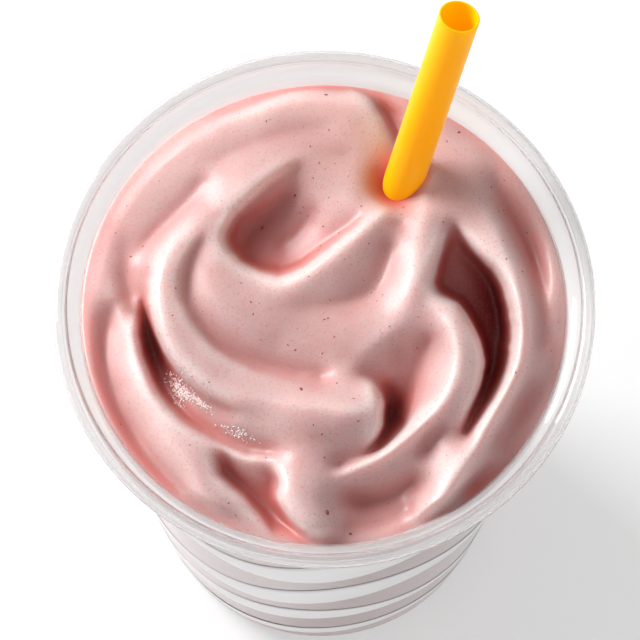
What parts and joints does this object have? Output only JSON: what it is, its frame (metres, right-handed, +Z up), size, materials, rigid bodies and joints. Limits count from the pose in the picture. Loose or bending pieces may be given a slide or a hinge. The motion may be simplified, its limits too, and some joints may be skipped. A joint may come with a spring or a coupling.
{
  "type": "strawberry smoothie in a clear cup",
  "caption": "Thick strawberry smoothie with a folded, swirled top in a clear tapered plastic cup, with an orange straw standing in it.",
  "frame": {"origin": "middle of the cup's foot, on the surface it stands on", "axes": "+Z up along the cup's axis; the straw leans away from the drinker (+Y) and to the right (+X)"},
  "size_m": [0.098, 0.098, 0.1605],
  "materials": {
    "clear_cup": "clear, smooth",
    "drink": "thick, satin, slightly wet",
    "straw": "smooth, opaque",
    "cup_print": "opaque white print"
  },
  "bodies": {
    "root": {"cup": "clear_cup", "smoothie": "drink", "straw": "straw"}
  },
  "joints": []
}
